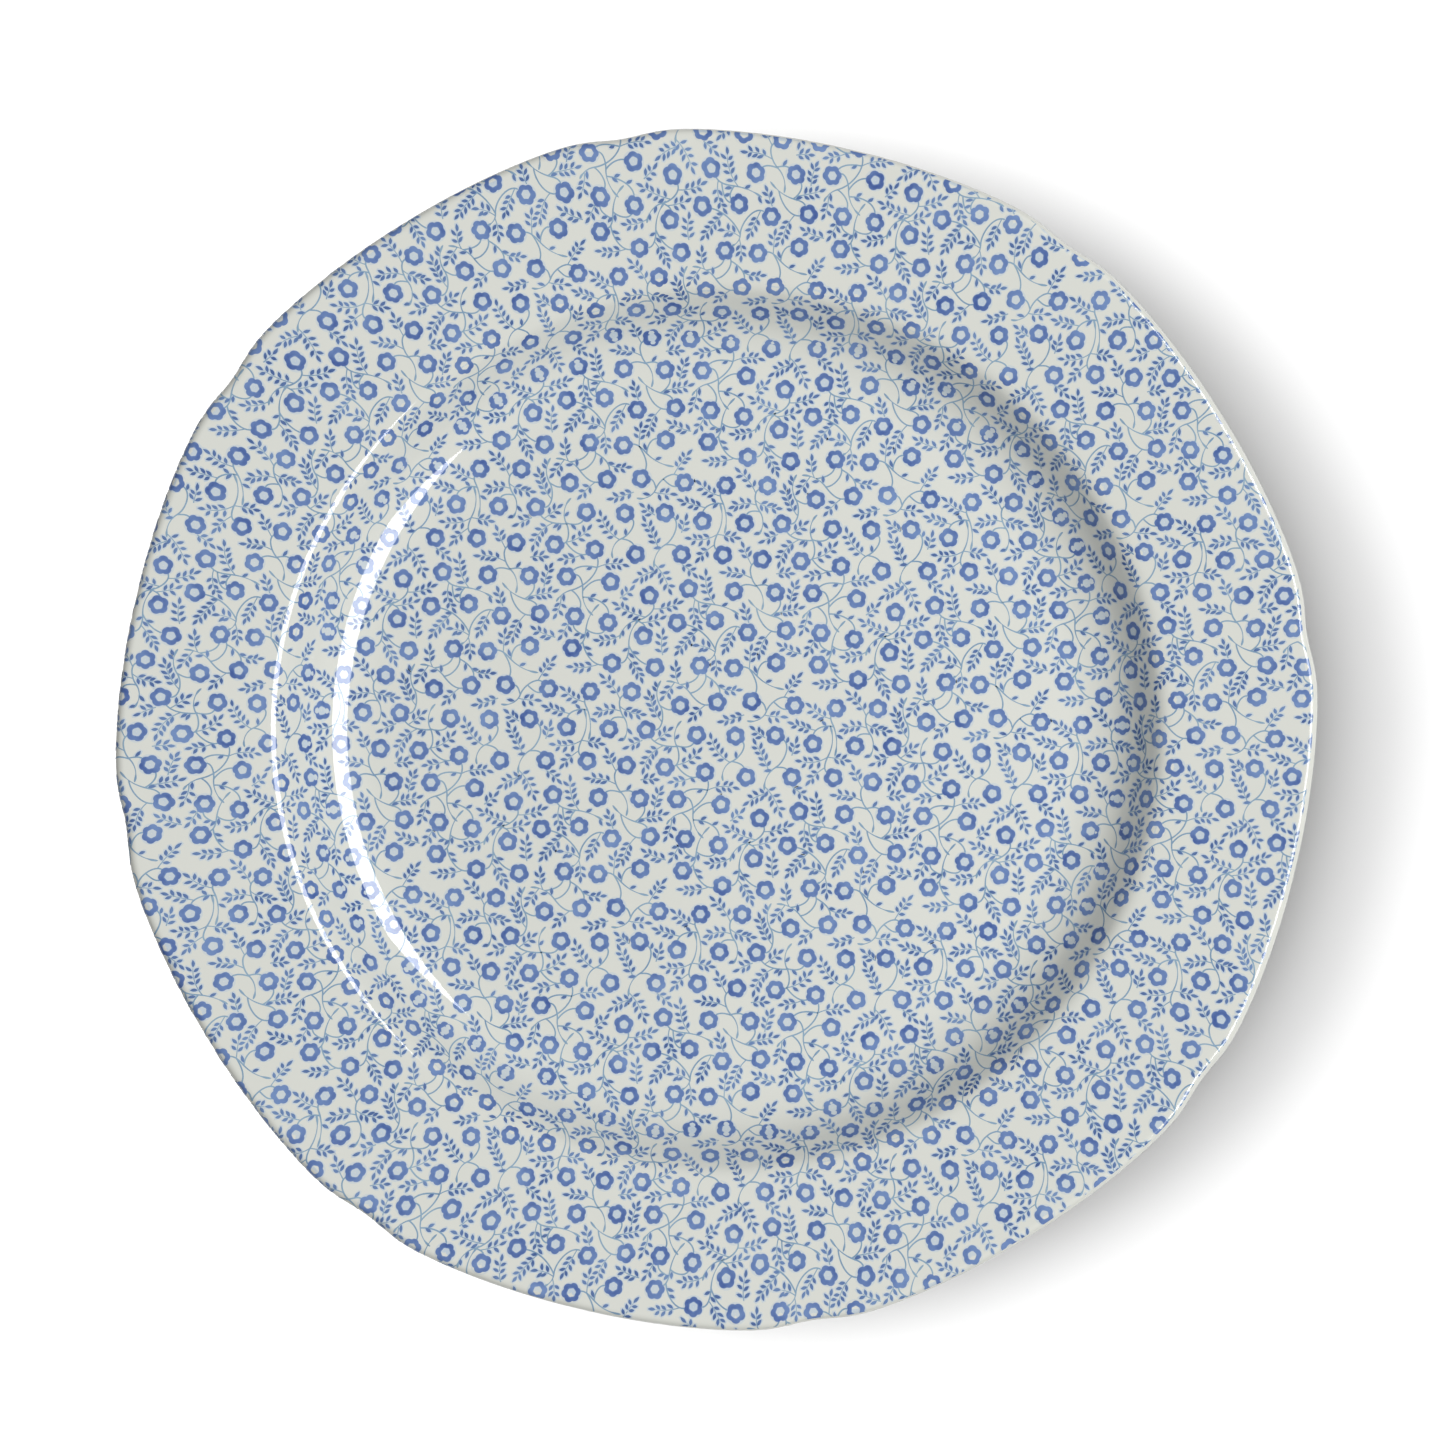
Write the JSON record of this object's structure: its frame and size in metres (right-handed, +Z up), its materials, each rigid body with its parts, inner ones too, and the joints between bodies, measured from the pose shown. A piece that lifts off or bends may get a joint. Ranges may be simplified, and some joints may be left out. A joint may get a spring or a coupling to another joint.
{
  "type": "china dinner plate",
  "caption": "Round china dinner plate with a flat well, a curved verge, a wide softly lobed rim, a foot ring and an all-over blue floral print under a clear glaze.",
  "frame": {"origin": "the middle of the plate's outline, in the plane that the foot ring stands on; the well and the foot ring sit 0.9 mm towards +X of it", "axes": "+Z up along the plate's axis, out of the well; +X and +Y lie in the plane of the foot, and one of the outline's eight dips is 9.2 degrees from +X towards +Y"},
  "size_m": [0.2656, 0.2656, 0.0256],
  "materials": {
    "biscuit": "matte",
    "blue_print": "gloss",
    "glaze": "gloss",
    "glaze_beneath": "gloss"
  },
  "bodies": {
    "root": {"fired_body": "biscuit", "printed_sheet": "blue_print", "outside_glaze": "glaze", "underside_glaze": "glaze_beneath"}
  },
  "joints": []
}
